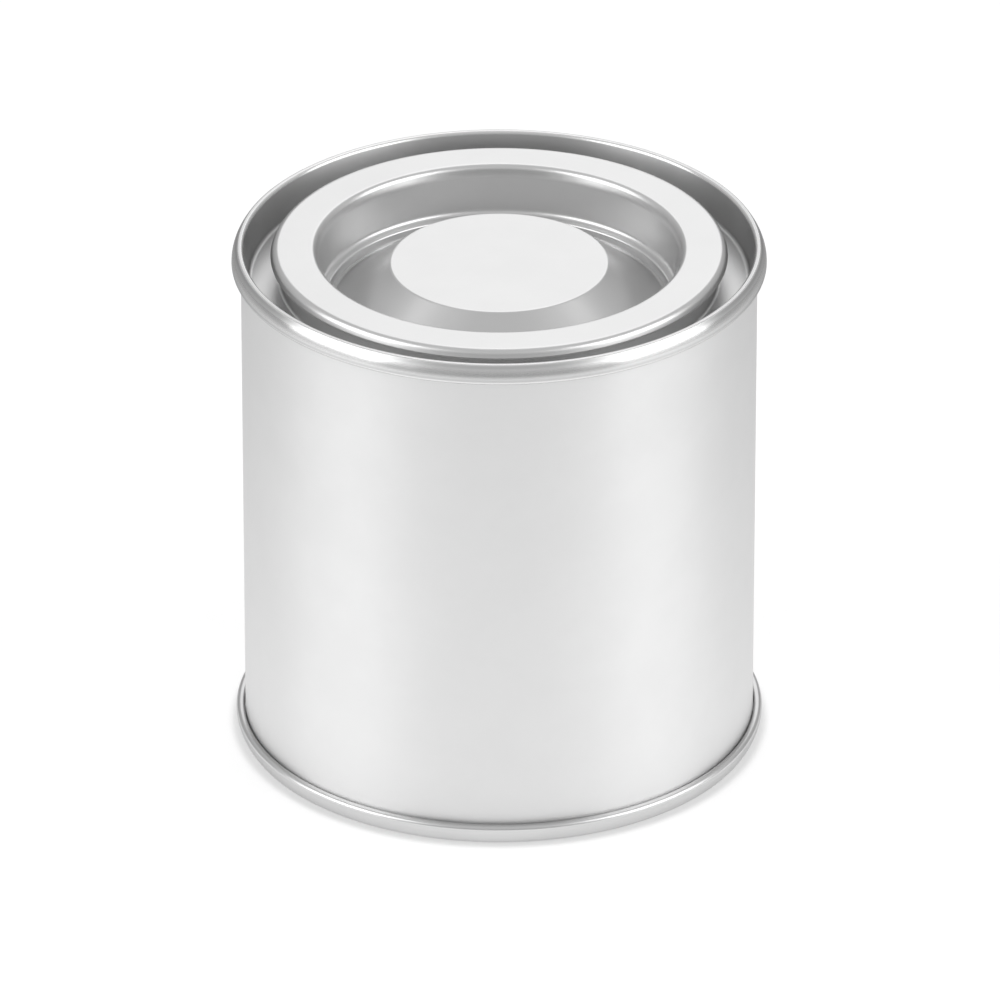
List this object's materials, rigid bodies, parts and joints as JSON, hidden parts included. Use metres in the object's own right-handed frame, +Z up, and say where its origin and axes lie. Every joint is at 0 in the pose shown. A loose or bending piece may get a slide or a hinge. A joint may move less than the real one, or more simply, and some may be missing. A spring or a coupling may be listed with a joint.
{
  "type": "lever lid tin",
  "caption": "Round tinplate can, shut: seamed bottom and top ring, and a press-in friction lid whose curled edge is levered up from the moat inside the rim.",
  "frame": {"origin": "centre of the base, at the level of the ring that the tin stands on", "axes": "+Z up along the axis of the tin; -Y faces the picture's camera"},
  "size_m": [0.0756, 0.0756, 0.076],
  "materials": {
    "body_tinplate": "satin tinplate with a faint rolling grain",
    "end_tinplate": "satin tinplate, pressed",
    "ring_tinplate": "satin tinplate, pressed, brighter on the seam",
    "lid_tinplate": "satin tinplate, pressed"
  },
  "bodies": {
    "root": {"tin_body": "body_tinplate", "bottom_end": "end_tinplate", "top_ring": "ring_tinplate", "lever_lid": "lid_tinplate"}
  },
  "joints": []
}
